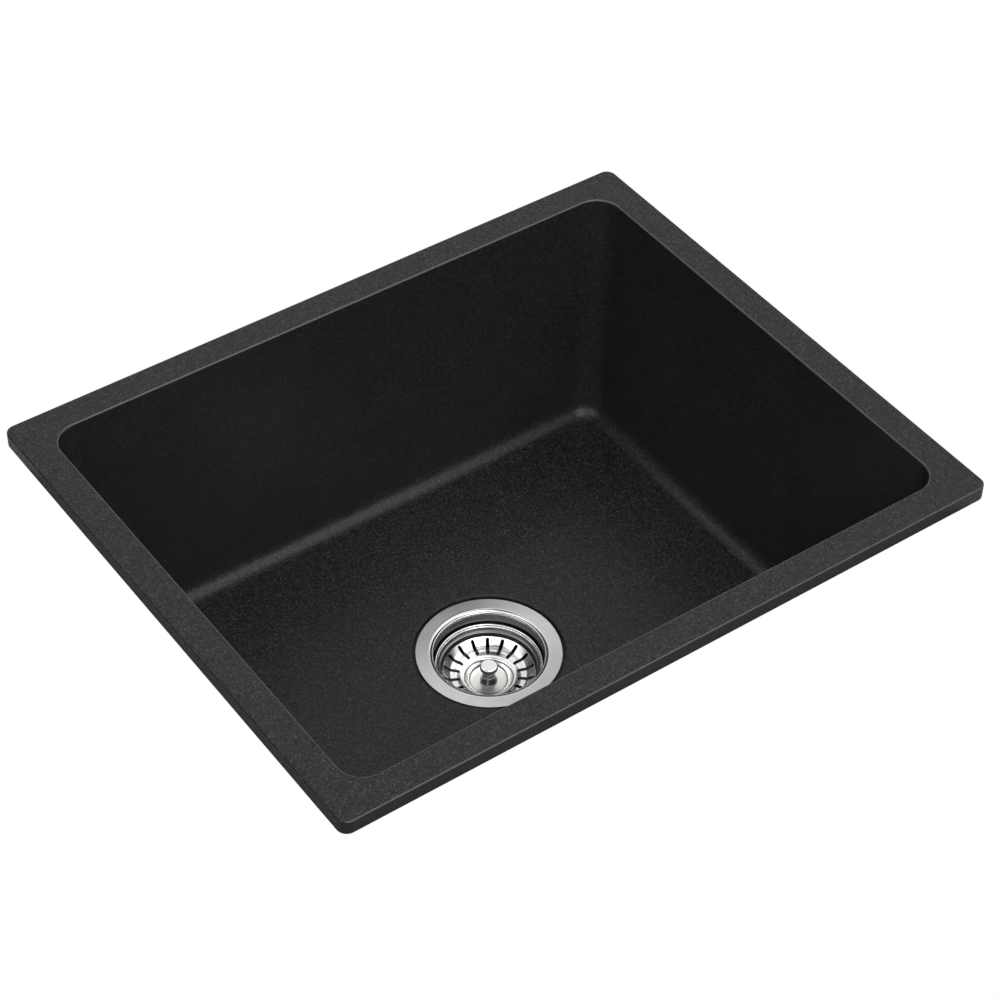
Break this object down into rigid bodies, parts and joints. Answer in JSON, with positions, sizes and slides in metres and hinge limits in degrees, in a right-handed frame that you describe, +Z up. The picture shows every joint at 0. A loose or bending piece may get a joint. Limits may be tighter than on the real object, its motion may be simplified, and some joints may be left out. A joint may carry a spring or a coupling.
{
  "type": "kitchen sink",
  "caption": "Rectangular granite composite kitchen sink with a flat rim, a deep drafted bowl and a stainless strainer whose slotted basket lifts out.",
  "frame": {"origin": "centre of the rim on the plane of its underside, where the sink rests on the worktop", "axes": "+X along the long side, +Y towards the back, +Z up out of the bowl"},
  "size_m": [0.55, 0.45, 0.3493],
  "materials": {
    "granite_composite": "matte, finely speckled black",
    "satin_steel": "satin drawn stainless steel",
    "polished_steel": "polished stamped stainless steel",
    "polished_chrome": "bright chrome plate",
    "cast_zinc": "dull cast zinc alloy",
    "black_rubber": "matte black rubber",
    "fibre_board": "pressed fibre",
    "white_nylon": "natural nylon"
  },
  "bodies": {
    "sink": {"sink_bowl": "granite_composite", "strainer_body": "satin_steel", "flange_gasket": "black_rubber", "under_gasket": "black_rubber", "friction_washer": "fibre_board", "lock_nut": "cast_zinc", "outlet_cross": "satin_steel", "stem_bush": "white_nylon", "tailpiece_washer": "white_nylon", "tailpiece": "polished_chrome", "coupling_nut": "polished_chrome"},
    "basket": {"basket_shell": "polished_steel", "knob": "polished_chrome", "stem": "satin_steel", "spacer_sleeve": "white_nylon", "seal_plate": "satin_steel", "stopper_seal": "black_rubber", "clamp_washer": "satin_steel", "stem_nut": "satin_steel"}
  },
  "joints": [
    {"name": "basket_lift", "type": "slide", "parent": "sink", "child": "basket", "axis": [0, 0, 1], "range_m": [0, 0.3]}
  ]
}
